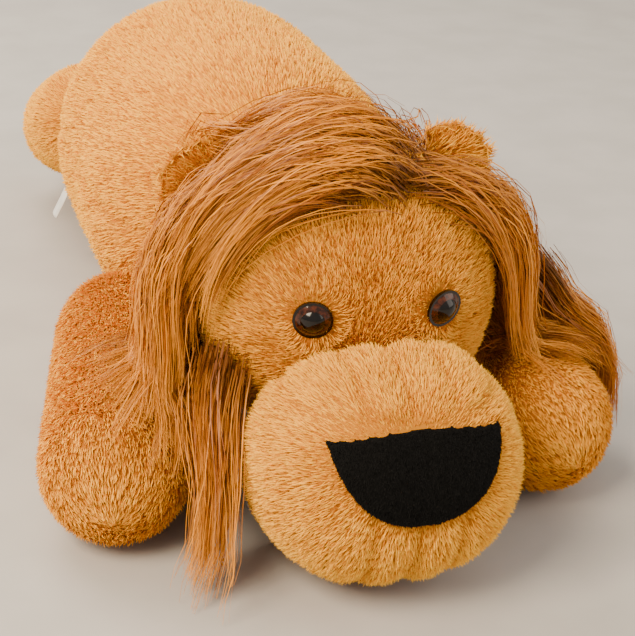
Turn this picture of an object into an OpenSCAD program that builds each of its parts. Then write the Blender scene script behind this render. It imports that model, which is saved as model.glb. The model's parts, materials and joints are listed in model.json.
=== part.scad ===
// Plush lion lying on its belly, built as a stuffed toy is built: sewn skins round stuffing cushions.
// +Z is up, the toy faces -Y, and +X is the toy's own left. The origin is on the floor, at the
// middle of the toy's length and width.

/* [Body] */
// Radius of the bolster-shaped body
body_r = 122; // [112:1:128]
// Straight length of the body between its two rounded ends
body_straight = 117; // [90:1:160]
// How far the belly is pressed flat by the floor
belly_press = 4; // [2:1:8]
// Thickness of a fur-cloth skin, backing and pile root together
skin_t = 3; // [2:0.5:4]

/* [Head] */
// Radius of the round head
head_r = 98; // [92:1:102]
// Height of the middle of the head
head_z = 146; // [142:1:152]
// Width of one muzzle cheek, as a radius
cheek_r = 75; // [70:1:78]
// Radius of the neck cushion
neck_r = 62; // [54:1:64]
// Radius of an ear
ear_r = 37; // [30:1:40]
// Diameter of a safety eye
eye_d = 24; // [20:1:26]
// Depth of the mane hair as it lies on the head
mane_t = 32; // [20:1:36]

/* [Limbs] */
// Radius of a front leg
arm_r = 50; // [46:1:51]
// Length from the shoulder to the middle of the front paw
arm_length = 170; // [140:1:172]
// Angle at which the left front leg lies, away from straight ahead, in degrees
arm_left_spread = 9; // [8:1:25]
// Angle at which the right front leg lies, away from straight ahead, in degrees
arm_right_spread = 13; // [8:1:25]
// Radius of a hind foot
foot_r = 48; // [42:1:50]
// Length from the hip to the middle of the hind foot
leg_length = 87; // [75:1:105]
// Radius of the tail
tail_r = 11; // [9:1:13]

/* [Hidden] */

$fn = 96;
fur_tan = "#c99a5c";
fur_light = "#dcb074";
fur_mane = "#b5702e";
fill_white = "#f1eee6";
big = 1000;               // larger than the toy, for half-spaces
profile_step = 9;         // angle between the points of a rounded outline
joint_gap = 0.8;          // between a cushion that turns and the socket it sits in
mane_gap = 1.5;           // between the mane and what it lies beside

// Body: front end, straight barrel, rear end
body_front_len = 140;
body_rear_len = 147;
barrel_front_y = 9;
barrel_rear_y = barrel_front_y + body_straight;
body_z = body_r - belly_press;
seam_angle = 18;          // how far the side seam lies below the widest line, seen along the body
seam_drop = 12;           // and how far below the middle the two halves meet at its ends
seam_tilt = atan((body_r * sin(seam_angle) - seam_drop) / (body_r * cos(seam_angle)));

// Neck and head
neck_y = barrel_front_y - body_front_len + 5;
neck_z = 124;
head_y = neck_y - 105;
head_front_len = 68;
head_back_len = 105;
cheek_x = 12;             // each cheek's centre, off the middle
cheek_y = head_y - 77;
cheek_z = cheek_r;
cheek_front_len = 80;
cheek_back_len = 62;
cheek_blunt = 0.4;
nose_from = 30;           // in front of the middle of the cheeks
nose_low_z = 71;
nose_low_r = 53.4;        // the rounded lower edge
nose_top_z = 125.5;
nose_top_r = 191;         // the arched upper edge
bridge_z = 112;
bridge_half_w = 26;

// Eyes: a safety eye is a base with a shank, an iris ring and a lock washer
eye_x = 41;
eye_z = head_z + 14;
eye_out = 18.5;           // turned outwards
eye_up = 6;               // turned up
eye_y = head_y - head_front_len * sqrt(1 - pow(norm([eye_x, eye_z - head_z]) / head_r, 2));
eye_seat = 1.2;           // how deep the eye is pressed into the fur cloth
eye_clear = 0.5;          // round the rim of the eye
eye_flange_t = 2;
eye_pupil_r = eye_d * 0.30;
pupil_dome_r = eye_pupil_r + 2.2;
pupil_dome_z = -3.4;
eye_iris_r = eye_d / 2 - 1;
iris_dome_r = eye_iris_r + 5.5;
iris_dome_z = -12;
shank_d = 5;
shank_len = 16;
washer_d = 18;
washer_t = 2;
washer_depth = skin_t + 1.5;   // below the eye's seat

// Ears
ear_angle = 37;           // above the side of the head
ear_y = head_y + 44;
ear_half_t = 9;
ear_blunt = 0.35;
ear_hinge_r = head_r * sqrt(1 - pow((ear_y - head_y) / head_back_len, 2)) + ear_half_t + joint_gap;
ear_root_w = 52;

// Mane: a ring of long fur round the back of the face, in three strips
mane_crown_from = 60;
mane_side_top = 14;
mane_side_low = -18;
mane_thick_at = 14;       // where it is deepest, in degrees behind the hairline
mane_swell = 1.02;        // the strip is a little longer than the head it lies on
crown_edges = [-33, 55];  // hairline and nape
side_edges = [-22, 44];
lock_r = 10;
lock_taper = 0.15;        // each point of a lock is this much thinner
left_lock_w = 30;
right_lock_w = 4;

// Limbs
shoulder = [110, neck_y + 48, arm_r + 3];
leg_socket_gap = 2.5;
hip_r = foot_r + 3;
hip = [foot_r + 27, barrel_rear_y + 127, 104];
foot_z = 70;              // a hind foot stands clear of the floor
floor_press = 2;          // how far a front leg is pressed flat by the floor

// Tail
tail_rise = 55;           // above the middle of the body
tail_root_r = tail_r + 2;
tail_sunk = 3;            // how deep the root sits in the body
tail_root = [0, barrel_rear_y + body_rear_len * sqrt(1 - pow(tail_rise / body_r, 2)) - tail_sunk,
    body_z + tail_rise];
tail_socket_gap = 4;
tail_bend_r = 110;
tail_bend = 40;           // how far the tail bends down, in degrees
tuft_r = 19;
tuft_len = 46;

// ---- outlines -------------------------------------------------------------------------------

// A rounded outline to spin: radius r, reaching front below zero and back above it
function lobe(r, front, back, blunt = 0.5) = [
    for (a = [-90 : profile_step : 90])
        let (reach = a < 0 ? front : back)
        [r * pow(cos(a), 2 * blunt), reach * sin(a)]];

// The outline of a cushion with a straight barrel between two rounded ends
function bolster(r, front, straight, back, blunt = 0.5) = concat(
    [for (a = [-90 : profile_step : 0]) [r * pow(cos(a), 2 * blunt), front * sin(a)]],
    [for (a = [0 : profile_step : 90]) [r * pow(cos(a), 2 * blunt), straight + back * sin(a)]]);

// Spins an outline about a line parallel to Y
module spin_y(points, turn = 360) {
    rotate([-90, 0, 0]) rotate_extrude(angle = turn) polygon(points);
}

module above(z) { translate([-big, -big, z]) cube([2 * big, 2 * big, big]); }

module mirrored(side) {
    if (side > 0) children();
    else mirror([1, 0, 0]) children();
}

// ---- body -----------------------------------------------------------------------------------

// The whole body; inset is how far inside the outer face
module body_form(inset = 0) {
    intersection() {
        translate([0, barrel_front_y, body_z])
            spin_y(bolster(body_r - inset, body_front_len - inset, body_straight, body_rear_len - inset));
        above(inset);
    }
}

// The hollows that the neck, the legs and the tail sit in
module body_sockets() {
    translate([0, neck_y, neck_z]) sphere(neck_r + joint_gap);
    for (side = [-1, 1]) {
        translate([side * shoulder.x, shoulder.y, shoulder.z]) sphere(arm_r + leg_socket_gap);
        translate([side * hip.x, hip.y, hip.z]) sphere(hip_r + leg_socket_gap);
    }
    translate(tail_root) sphere(tail_root_r + tail_socket_gap);
}

// Everything below the side seams, as a wedge along the body
module belly_side() {
    translate([0, -big, body_z - seam_drop]) rotate([-90, 0, 0]) rotate([0, 0, seam_tilt])
        rotate_extrude(angle = 180 - 2 * seam_tilt) square([big, 2 * big]);
}

module body_skin() {
    difference() {
        body_form();
        body_form(skin_t);
        body_sockets();
    }
}

module body_back_skin() {
    color(fur_tan) difference() {
        body_skin();
        belly_side();
    }
}

module body_belly_skin() {
    color(fur_tan) intersection() {
        body_skin();
        belly_side();
    }
}

module body_stuffing() {
    color(fill_white) difference() {
        body_form(skin_t);
        body_sockets();
    }
}

// A blank satin tab sewn into the right side seam
module care_label() {
    label_w = 20;
    label_drop = 26;
    label_t = 0.8;
    label_gap = 0.6;
    label_back = 12;        // behind the straight part of the body
    seam_z = body_z - body_r * sin(seam_angle);
    seam_x = body_r * cos(seam_angle);
    color("#e9e9e4") translate([-seam_x - label_t - label_gap, barrel_rear_y + label_back, seam_z - label_drop])
        cube([label_t, label_w, label_drop]);
}

// ---- neck -----------------------------------------------------------------------------------

module neck_skin() {
    color(fur_tan) translate([0, neck_y, neck_z]) difference() {
        sphere(neck_r);
        sphere(neck_r - skin_t);
    }
}

module neck_stuffing() {
    color(fill_white) translate([0, neck_y, neck_z]) sphere(neck_r - skin_t);
}

// ---- head -----------------------------------------------------------------------------------

module head_form(inset = 0) {
    translate([0, head_y, head_z])
        spin_y(lobe(head_r - inset, head_front_len - inset, head_back_len - inset));
}

// The round opening at the back of the head that the neck cushion sits in
module neck_opening() {
    reach = neck_r + joint_gap;
    translate([0, neck_y - reach, neck_z]) rotate([-90, 0, 0]) cylinder(h = big, r = reach);
}

// Places its children on the seat of an eye, with +Z pointing out of the face
module at_eye(side) {
    mirrored(side) translate([eye_x, eye_y, eye_z])
        rotate([eye_up, 0, eye_out]) rotate([90, 0, 0]) children();
}

// Room for the shank and the lock washer of each eye
module eye_holes() {
    for (side = [-1, 1]) at_eye(side) {
        translate([0, 0, -shank_len - eye_clear]) cylinder(h = shank_len + eye_clear, d = shank_d);
        translate([0, 0, -washer_depth - washer_t]) cylinder(h = washer_t, d = washer_d);
        translate([0, 0, -eye_seat]) cylinder(h = big, d = eye_d + 2 * eye_clear);
    }
}

module face_skin() {
    color(fur_tan) difference() {
        head_form();
        head_form(skin_t);
        translate([-big, head_y, -big]) cube(2 * big);
        eye_holes();
    }
}

module head_back_skin() {
    color(fur_tan) difference() {
        head_form();
        head_form(skin_t);
        translate([-big, head_y - 2 * big, -big]) cube(2 * big);
        neck_opening();
    }
}

module head_stuffing() {
    color(fill_white) difference() {
        head_form(skin_t);
        neck_opening();
        eye_holes();
    }
}

// ---- muzzle ---------------------------------------------------------------------------------

// Two full cheeks side by side; the crease between them is the middle seam
module muzzle_form(inset = 0) {
    intersection() {
        for (side = [-1, 1]) translate([side * cheek_x, cheek_y, cheek_z])
            spin_y(lobe(cheek_r - inset, cheek_front_len - inset, cheek_back_len - inset, cheek_blunt));
        above(inset);
    }
}

module muzzle_shell() {
    difference() {
        muzzle_form();
        muzzle_form(skin_t);
        head_form();
        eye_holes();
    }
}

// A prism through the muzzle with the outline of the nose: arched above, rounded below
module nose_prism() {
    translate([0, cheek_y - nose_from, 0]) rotate([90, 0, 0]) linear_extrude(big) intersection() {
        translate([0, nose_low_z + nose_low_r]) circle(nose_low_r);
        translate([0, nose_top_z - nose_top_r]) circle(nose_top_r);
    }
}

module bridge_slab() {
    translate([-bridge_half_w, cheek_y - big, bridge_z]) cube([2 * bridge_half_w, 2 * big, big]);
}

module cheek_panel(side) {
    color(fur_light) difference() {
        muzzle_shell();
        mirrored(side) translate([-2 * big, -big, -big]) cube(2 * big);
        bridge_slab();
        nose_prism();
    }
}

module muzzle_left_panel() { cheek_panel(1); }

module muzzle_right_panel() { cheek_panel(-1); }

module muzzle_bridge_panel() {
    color(fur_light) difference() {
        intersection() {
            muzzle_shell();
            bridge_slab();
        }
        nose_prism();
    }
}

module nose_patch() {
    color("#16130f") intersection() {
        muzzle_shell();
        nose_prism();
    }
}

module muzzle_stuffing() {
    color(fill_white) difference() {
        muzzle_form(skin_t);
        head_form();
        eye_holes();
    }
}

// ---- eyes -----------------------------------------------------------------------------------

module eye_base(side) {
    color("#0d0b0a") at_eye(side) {
        translate([0, 0, -eye_seat]) cylinder(h = eye_flange_t, d = eye_d);
        translate([0, 0, -shank_len]) cylinder(h = shank_len, d = shank_d);
        intersection() {
            cylinder(h = eye_d, r = eye_pupil_r);
            translate([0, 0, pupil_dome_z]) sphere(pupil_dome_r);
        }
    }
}

module eye_iris(side) {
    color("#6b3a20") at_eye(side) difference() {
        intersection() {
            translate([0, 0, eye_flange_t - eye_seat]) cylinder(h = eye_d, r = eye_iris_r);
            translate([0, 0, iris_dome_z]) sphere(iris_dome_r);
        }
        translate([0, 0, -eye_d]) cylinder(h = 2 * eye_d, r = eye_pupil_r);
    }
}

module eye_washer(side) {
    color("#f5f5f0") at_eye(side) translate([0, 0, -washer_depth - washer_t]) difference() {
        cylinder(h = washer_t, d = washer_d);
        translate([0, 0, -washer_t]) cylinder(h = 3 * washer_t, d = shank_d);
    }
}

module eye_left_base() { eye_base(1); }
module eye_left_iris() { eye_iris(1); }
module eye_left_washer() { eye_washer(1); }
module eye_right_base() { eye_base(-1); }
module eye_right_iris() { eye_iris(-1); }
module eye_right_washer() { eye_washer(-1); }

// ---- ears -----------------------------------------------------------------------------------

// Places its children on the ear's root line: +X along the root, +Y to the back, +Z outwards
module at_ear(side) {
    mirrored(side) translate([ear_hinge_r * cos(ear_angle), ear_y, head_z + ear_hinge_r * sin(ear_angle)])
        rotate([0, 90 - ear_angle, 0]) children();
}

// A puffed half-disc on a round root
module ear_form() {
    intersection() {
        spin_y(lobe(ear_r, ear_half_t, ear_half_t, ear_blunt));
        above(0);
    }
    rotate([0, 90, 0]) cylinder(h = ear_root_w, r = ear_half_t, center = true);
}

module ear_front(side) {
    color(fur_light) at_ear(side) difference() {
        ear_form();
        translate([-big, 0, -big]) cube(2 * big);
    }
}

module ear_back(side) {
    color(fur_mane) at_ear(side) difference() {
        ear_form();
        translate([-big, -2 * big, -big]) cube(2 * big);
    }
}

module ear_left_front() { ear_front(1); }
module ear_left_back() { ear_back(1); }
module ear_right_front() { ear_front(-1); }
module ear_right_back() { ear_back(-1); }

// ---- mane -----------------------------------------------------------------------------------

// Depth of the hair at one place between the hairline and the nape, thinning out to both
function mane_depth(a) = mane_t * sqrt(cos((a - mane_thick_at) * 1.75));

// One strip of the mane, from one angle to the next round the head, measured up from its left side
module mane_strip(from, to, edges) {
    mane_step = 11;
    along = function(a) (a < 0 ? head_front_len : head_back_len) * sin(a) * mane_swell;
    inner = [for (a = [edges[0] : mane_step : edges[1]]) [(head_r + mane_gap) * cos(a), along(a)]];
    outer = [for (a = [edges[1] : -mane_step : edges[0]])
        [(head_r + mane_gap + mane_depth(a)) * cos(a), along(a)]];
    translate([0, head_y, head_z]) rotate([0, -from, 0]) mirror([0, 0, 1])
        spin_y(concat(inner, outer), to - from);
}

module mane_crown() {
    color(fur_mane) mane_strip(mane_crown_from, 180 - mane_crown_from, crown_edges);
}

module mane_side(side) {
    color(fur_mane) mirrored(side) mane_strip(mane_side_low, mane_side_top, side_edges);
}

module mane_left() { mane_side(1); }
module mane_right() { mane_side(-1); }

// A lock of hair that tapers along a chain of points, with a width along Y
module mane_lock(points, width) {
    color(fur_mane) for (i = [1 : len(points) - 1]) hull() for (k = [i - 1, i], end = [-0.5, 0.5])
        translate(points[k] + [0, end * width * (1 - lock_taper * k), 0])
            sphere(lock_r * (1 - lock_taper * k), $fn = 24);
}

// The left side of the mane falls outside the front leg
module mane_left_lock() {
    y = head_y + 20;
    mane_lock([[148, y, 124], [176, y, 106], [190.5, y, 78], [192, y, 40]], left_lock_w);
}

// The right side falls forwards, between the muzzle and the paw
module mane_right_lock() {
    y = head_y - 42;
    mane_lock([[-98, y, 108], [-98, y - 27, 72], [-104, y - 45, 36], [-112, y - 49, 12]], right_lock_w);
}

// ---- legs -----------------------------------------------------------------------------------

// The outline of a tapering leg, from the back of its round root to the tip of its round paw
function leg_outline(root_r, paw_r, length, inset) = concat(
    [for (a = [-90 : profile_step : 0]) (root_r - inset) * [cos(a), sin(a)]],
    [for (a = [0 : profile_step : 90]) [0, length] + (paw_r - inset) * [cos(a), sin(a)]]);

// A leg cushion that points straight ahead, down to the height of its paw, and is then turned outwards
module leg_form(root, root_r, paw_r, paw_z, length, heading, inset = 0) {
    drop = root.z - paw_z;
    intersection() {
        translate(root) rotate([0, 0, heading]) rotate([90 + atan2(drop, length), 0, 0])
            rotate_extrude() polygon(leg_outline(root_r, paw_r, norm([length, drop]), inset));
        above(inset);
    }
}

module front_leg(side, inset) {
    spread = side > 0 ? arm_left_spread : arm_right_spread;
    mirrored(side) leg_form(shoulder, arm_r, arm_r, arm_r - floor_press, arm_length, spread, inset);
}

module hind_leg(side, inset) {
    mirrored(side) leg_form(hip, hip_r, foot_r, foot_z, leg_length, 180, inset);
}

module front_leg_skin(side) {
    color(fur_tan) difference() {
        front_leg(side, 0);
        front_leg(side, skin_t);
    }
}

module front_leg_stuffing(side) { color(fill_white) front_leg(side, skin_t); }

module hind_leg_skin(side) {
    color(fur_tan) difference() {
        hind_leg(side, 0);
        hind_leg(side, skin_t);
    }
}

module hind_leg_stuffing(side) { color(fill_white) hind_leg(side, skin_t); }

module front_leg_left_skin() { front_leg_skin(1); }
module front_leg_left_stuffing() { front_leg_stuffing(1); }
module front_leg_right_skin() { front_leg_skin(-1); }
module front_leg_right_stuffing() { front_leg_stuffing(-1); }
module hind_leg_left_skin() { hind_leg_skin(1); }
module hind_leg_left_stuffing() { hind_leg_stuffing(1); }
module hind_leg_right_skin() { hind_leg_skin(-1); }
module hind_leg_right_stuffing() { hind_leg_stuffing(-1); }

// ---- tail -----------------------------------------------------------------------------------

// A round root and a gentle bend down behind
module tail_form(inset = 0) {
    translate(tail_root) {
        sphere(tail_root_r - inset);
        translate([0, 0, -tail_bend_r]) mirror([0, 0, 1]) rotate([0, 90, 0])
            rotate_extrude(angle = tail_bend) translate([tail_bend_r, 0]) circle(tail_r - inset, $fn = 48);
    }
}

module tail_skin() {
    color(fur_tan) difference() {
        tail_form();
        tail_form(skin_t);
    }
}

module tail_stuffing() { color(fill_white) tail_form(skin_t); }

module tail_tuft() {
    tip = tail_root + tail_bend_r * [0, sin(tail_bend), cos(tail_bend) - 1];
    outline = [for (a = [-36 : 12 : 90]) [tuft_r * pow(cos(a), 0.8), tuft_len * (0.37 + 0.63 * sin(a))]];
    color(fur_mane) translate(tip) rotate([-90 - tail_bend, 0, 0])
        rotate_extrude() polygon(concat([[0, 0]], outline));
}

// ---------------------------------------------------------------------------------------------

body_back_skin();
body_belly_skin();
body_stuffing();
care_label();
neck_skin();
neck_stuffing();
face_skin();
head_back_skin();
head_stuffing();
muzzle_bridge_panel();
muzzle_left_panel();
muzzle_right_panel();
muzzle_stuffing();
nose_patch();
ear_left_front();
ear_left_back();
ear_right_front();
ear_right_back();
eye_left_base();
eye_left_iris();
eye_left_washer();
eye_right_base();
eye_right_iris();
eye_right_washer();
mane_crown();
mane_left();
mane_right();
mane_left_lock();
mane_right_lock();
front_leg_left_skin();
front_leg_left_stuffing();
front_leg_right_skin();
front_leg_right_stuffing();
hind_leg_left_skin();
hind_leg_left_stuffing();
hind_leg_right_skin();
hind_leg_right_stuffing();
tail_skin();
tail_stuffing();
tail_tuft();
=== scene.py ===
"""A plush lion lying on its belly: fur-cloth skins round stuffed forms, with a long silky mane.

Each soft form is a surface taken from the CAD solids, puffed by a cloth simulation and cut along its
seams. One Geometry Nodes tree grows a cut pile on every panel. The mane is made of long ribbons that
follow guide hairs laid over the head.
"""

import json
import logging
import math
from dataclasses import dataclass, field
from enum import Enum

import bmesh
import bpy
import numpy as np
from mathutils import Matrix, Vector
from mathutils.bvhtree import BVHTree

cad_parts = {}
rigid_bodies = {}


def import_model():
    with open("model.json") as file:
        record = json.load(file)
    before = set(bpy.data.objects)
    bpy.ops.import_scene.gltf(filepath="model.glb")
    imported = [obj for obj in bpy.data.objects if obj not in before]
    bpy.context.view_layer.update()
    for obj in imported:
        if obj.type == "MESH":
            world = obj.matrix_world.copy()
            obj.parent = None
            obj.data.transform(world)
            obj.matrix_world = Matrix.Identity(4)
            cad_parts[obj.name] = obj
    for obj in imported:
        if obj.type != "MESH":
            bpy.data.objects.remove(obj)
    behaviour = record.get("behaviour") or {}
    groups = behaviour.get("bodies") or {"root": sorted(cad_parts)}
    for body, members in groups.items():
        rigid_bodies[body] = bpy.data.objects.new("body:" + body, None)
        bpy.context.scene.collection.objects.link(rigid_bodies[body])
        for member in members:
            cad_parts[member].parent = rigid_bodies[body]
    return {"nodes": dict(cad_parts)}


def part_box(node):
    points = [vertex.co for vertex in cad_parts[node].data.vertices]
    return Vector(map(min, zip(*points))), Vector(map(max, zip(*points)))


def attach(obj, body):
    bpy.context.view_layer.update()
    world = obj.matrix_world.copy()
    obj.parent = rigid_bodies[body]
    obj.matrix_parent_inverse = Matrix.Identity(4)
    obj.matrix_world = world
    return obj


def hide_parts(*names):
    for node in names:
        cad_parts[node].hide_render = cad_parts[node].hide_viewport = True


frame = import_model()

LOG = logging.getLogger("plush_lion")
UV_NAME = "OFBake"            # x is the tone of a hair, y runs from its root to its tip
FLOOR_CLEAR = 0.0006          # no hair goes lower than this

Colour = tuple[float, float, float, float]
Array = np.ndarray


# ---- small helpers --------------------------------------------------------------------------------


def linear(code: str) -> Colour:
    """Turns a hexadecimal colour into linear light.

    Args:
        code: Six hexadecimal digits after a hash sign.

    Returns:
        Red, green, blue and an alpha of one.
    """
    parts = [int(code[i : i + 2], 16) / 255 for i in (1, 3, 5)]
    return tuple(c / 12.92 if c <= 0.04045 else ((c + 0.055) / 1.055) ** 2.4 for c in parts) + (1.0,)


def unit(vectors: Array) -> Array:
    """Scales vectors to length one."""
    return vectors / np.maximum(np.linalg.norm(vectors, axis=-1, keepdims=True), 1e-9)


def ramp(x: Array, low: float, high: float) -> Array:
    """Rises smoothly from nothing at low to one at high.

    Args:
        x: The values.
        low: Where the rise starts.
        high: Where it ends. It may lie below low.

    Returns:
        Values from 0 to 1.
    """
    t = np.clip((x - low) / (high - low), 0, 1)
    return t * t * (3 - 2 * t)


def points_of(obj: bpy.types.Object) -> Array:
    """Reads the places of an object's vertices."""
    flat = np.empty(len(obj.data.vertices) * 3, np.float32)
    obj.data.vertices.foreach_get("co", flat)
    return flat.reshape(-1, 3).astype(float)


def set_points(obj: bpy.types.Object, points: Array) -> None:
    """Moves an object's vertices."""
    obj.data.vertices.foreach_set("co", points.astype(np.float32).ravel())
    obj.data.update()


def normals_of(obj: bpy.types.Object) -> Array:
    """Reads the directions that an object's vertices face."""
    flat = np.empty(len(obj.data.vertices) * 3, np.float32)
    obj.data.vertex_normals.foreach_get("vector", flat)
    return flat.reshape(-1, 3).astype(float)


def mesh_object(name: str, points: Array, faces: Array) -> bpy.types.Object:
    """Makes an object from points and faces.

    Args:
        name: The object's name.
        points: The vertices.
        faces: The corners of each face, all of the same number.

    Returns:
        The object, in the scene.
    """
    mesh = bpy.data.meshes.new(name)
    mesh.from_pydata(points.tolist(), [], faces.tolist())
    obj = bpy.data.objects.new(name, mesh)
    bpy.context.scene.collection.objects.link(obj)
    return obj


def settled(obj: bpy.types.Object) -> None:
    """Turns what an object's modifiers make into its own mesh."""
    shape = obj.evaluated_get(bpy.context.evaluated_depsgraph_get())
    mesh = bpy.data.meshes.new_from_object(shape)
    obj.modifiers.clear()
    old = obj.data
    obj.data = mesh
    bpy.data.meshes.remove(old)


def discard(obj: bpy.types.Object) -> None:
    """Removes an object and its mesh."""
    mesh = obj.data
    bpy.data.objects.remove(obj)
    bpy.data.meshes.remove(mesh)


def node_points(*nodes: str) -> Array:
    """Gathers the vertices of some CAD nodes."""
    return np.vstack([points_of(frame["nodes"][node]) for node in nodes])


# ---- node graphs ----------------------------------------------------------------------------------


class Value:
    """A number socket that adds Math nodes when it is used in an expression."""

    def __init__(self, graph: "Graph", socket: bpy.types.NodeSocket) -> None:
        """Wraps one output socket of a graph."""
        self.graph = graph
        self.socket = socket

    def math(self, operation: str, left: object, right: object = 0.0) -> "Value":
        """Adds one Math node.

        Args:
            operation: What the node works out.
            left: Its first value, a Value or a number.
            right: Its second value.

        Returns:
            The node's result.
        """
        node = self.graph.add("ShaderNodeMath", {"operation": operation}, {0: left, 1: right})
        return Value(self.graph, node.outputs[0])

    def __add__(self, other: object) -> "Value":
        """self + other."""
        return self.math("ADD", self, other)

    __radd__ = __add__

    def __sub__(self, other: object) -> "Value":
        """self - other."""
        return self.math("SUBTRACT", self, other)

    def __rsub__(self, other: object) -> "Value":
        """other - self."""
        return self.math("SUBTRACT", other, self)

    def __mul__(self, other: object) -> "Value":
        """self * other."""
        return self.math("MULTIPLY", self, other)

    __rmul__ = __mul__

    def __rtruediv__(self, other: object) -> "Value":
        """other / self."""
        return self.math("DIVIDE", other, self)

    def between(self, low: float, high: float) -> "Value":
        """Rises smoothly from 0 where self is low to 1 where it is high."""
        node = self.graph.add("ShaderNodeMapRange", {"interpolation_type": "SMOOTHSTEP"}, {
            "Value": self, "From Min": low, "From Max": high, "To Min": 0.0, "To Max": 1.0})
        return Value(self.graph, node.outputs[0])


class Graph:
    """A node tree that is being built, for a material or for geometry."""

    def __init__(self, tree: bpy.types.NodeTree) -> None:
        """Starts with an empty tree."""
        self.tree = tree
        tree.nodes.clear()

    def add(self, kind: str, settings: dict | None = None, inputs: dict | None = None) -> bpy.types.Node:
        """Adds a node.

        Args:
            kind: The node's type.
            settings: Its own settings, which are set first.
            inputs: A value, a Value or a socket for each input, by name or by number.

        Returns:
            The node.
        """
        node = self.tree.nodes.new(kind)
        for name, setting in (settings or {}).items():
            setattr(node, name, setting)
        for key, given in (inputs or {}).items():
            socket = node.inputs[key] if isinstance(key, int) else self.shown(node.inputs, key)
            given = given.socket if isinstance(given, Value) else given
            if isinstance(given, bpy.types.NodeSocket):
                self.tree.links.new(given, socket)
            else:
                socket.default_value = given
        return node

    @staticmethod
    def shown(sockets: bpy.types.NodeInputs, name: str) -> bpy.types.NodeSocket:
        """Finds the socket of that name which the node's settings leave in use."""
        return next(s for s in sockets if s.name == name and s.enabled)

    def value(self, kind: str, settings: dict | None, inputs: dict | None, output: str) -> Value:
        """Adds a node and wraps one of its outputs.

        Args:
            kind: The node's type.
            settings: Its own settings.
            inputs: Its inputs.
            output: The output's name.

        Returns:
            The output.
        """
        node = self.add(kind, settings, inputs)
        return Value(self, self.shown(node.outputs, output))

    def blend(self, factor: object, first: object, second: object) -> bpy.types.NodeSocket:
        """Mixes two colours.

        Args:
            factor: 0 for the first and 1 for the second.
            first: A colour or a socket.
            second: A colour or a socket.

        Returns:
            The mixed colour.
        """
        node = self.add("ShaderNodeMix", {"data_type": "RGBA"}, {"Factor": factor, "A": first, "B": second})
        return self.shown(node.outputs, "Result")

    def vector(self, operation: str, *operands: object) -> bpy.types.NodeSocket:
        """Adds a Vector Math node and gives its vector result."""
        node = self.add("ShaderNodeVectorMath", {"operation": operation}, dict(enumerate(operands)))
        return node.outputs["Vector"]

    def scaled(self, vector: object, factor: object) -> bpy.types.NodeSocket:
        """Multiplies a vector by a number."""
        node = self.add("ShaderNodeVectorMath", {"operation": "SCALE"}, {"Vector": vector, "Scale": factor})
        return node.outputs["Vector"]


class Paint(Graph):
    """The graph of one material, which ends in a Principled shader."""

    def __init__(self, name: str) -> None:
        """Makes an empty material of that name."""
        self.material = bpy.data.materials.new(name)
        self.material.use_nodes = True
        super().__init__(self.material.node_tree)

    def finish(self, settings: dict) -> bpy.types.Material:
        """Adds the shader.

        Args:
            settings: The shader's inputs.

        Returns:
            The finished material.
        """
        shader = self.add("ShaderNodeBsdfPrincipled", None, settings)
        self.add("ShaderNodeOutputMaterial", None, {"Surface": shader.outputs[0]})
        return self.material

    def object_noise(self, scale: float, detail: float = 3.0) -> Value:
        """A noise that is fixed to the object, with scale bumps to the metre."""
        place = self.add("ShaderNodeTexCoord").outputs["Object"]
        return self.value("ShaderNodeTexNoise", None, {
            "Vector": place, "Scale": scale, "Detail": detail}, "Fac")

    def bump(self, height: Value, strength: float, distance: float) -> bpy.types.NodeSocket:
        """Turns a height into a normal.

        Args:
            height: The height, from 0 to 1.
            strength: How strongly it shows.
            distance: How high 1 is, in metres.

        Returns:
            The normal.
        """
        node = self.add("ShaderNodeBump", None, {
            "Height": height, "Strength": strength, "Distance": distance})
        return node.outputs["Normal"]


# ---- finishes -------------------------------------------------------------------------------------


@dataclass(frozen=True)
class FurFinish:
    """Dyed fur: a dark knitted base, with the hairs painted darker low down as shade among their roots, and
    hairs that vary in tone from one to the next.
    """

    name: str
    slot: str
    backing_and_root_shade: str
    dark: str
    light: str
    tip: str
    tip_share: float = 0.35
    roughness: float = 0.75
    sheen: float = 0.05
    sheen_tint: str = "#ffd08a"
    shine: float = 0.15

    def material(self) -> bpy.types.Material:
        """Makes the material, which reads only the hair's own tone and length.

        Returns:
            The material.
        """
        paint = Paint(self.name)
        uv = paint.add("ShaderNodeUVMap", {"uv_map": UV_NAME}).outputs["UV"]
        split = paint.add("ShaderNodeSeparateXYZ", None, {0: uv})
        tone = Value(paint, split.outputs["X"])
        along = Value(paint, split.outputs["Y"])
        streak = paint.value("ShaderNodeTexNoise", {"noise_dimensions": "2D"}, {
            "Vector": uv, "Scale": 9.0, "Detail": 2.0}, "Fac")
        shade = (tone + (streak - 0.5) * 0.2).between(0.05, 0.95)
        hair = paint.blend(shade, linear(self.dark), linear(self.light))
        hair = paint.blend(along.between(0.45, 1.0) * self.tip_share, hair, linear(self.tip))
        # low on each hair the colour turns to the dark base colour: painted shade among the roots, and the
        # real base where it is bare
        colour = paint.blend(along.between(0.03, 0.36), linear(self.backing_and_root_shade), hair)
        return paint.finish({
            "Base Color": colour, "Roughness": self.roughness, "Specular IOR Level": self.shine,
            "Sheen Weight": self.sheen, "Sheen Roughness": 0.4, "Sheen Tint": linear(self.sheen_tint)})


@dataclass(frozen=True)
class EyeFinish:
    """Polished plastic, with faint moulding swirls under a clear gloss."""

    name: str
    slot: str
    dark: str
    light: str
    coat: float = 0.25

    def material(self) -> bpy.types.Material:
        """Makes the material.

        Returns:
            The material.
        """
        paint = Paint(self.name)
        swirl = paint.object_noise(420.0, 4.0).between(0.35, 0.7)
        fine = paint.object_noise(1500.0, 2.0)
        return paint.finish({
            "Base Color": paint.blend(swirl, linear(self.dark), linear(self.light)),
            "Roughness": 0.12 + fine * 0.08, "Coat Weight": self.coat, "Coat Roughness": 0.03,
            "Specular IOR Level": 0.25,
            "Normal": paint.bump(fine, 0.05, 0.0001)})


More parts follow.
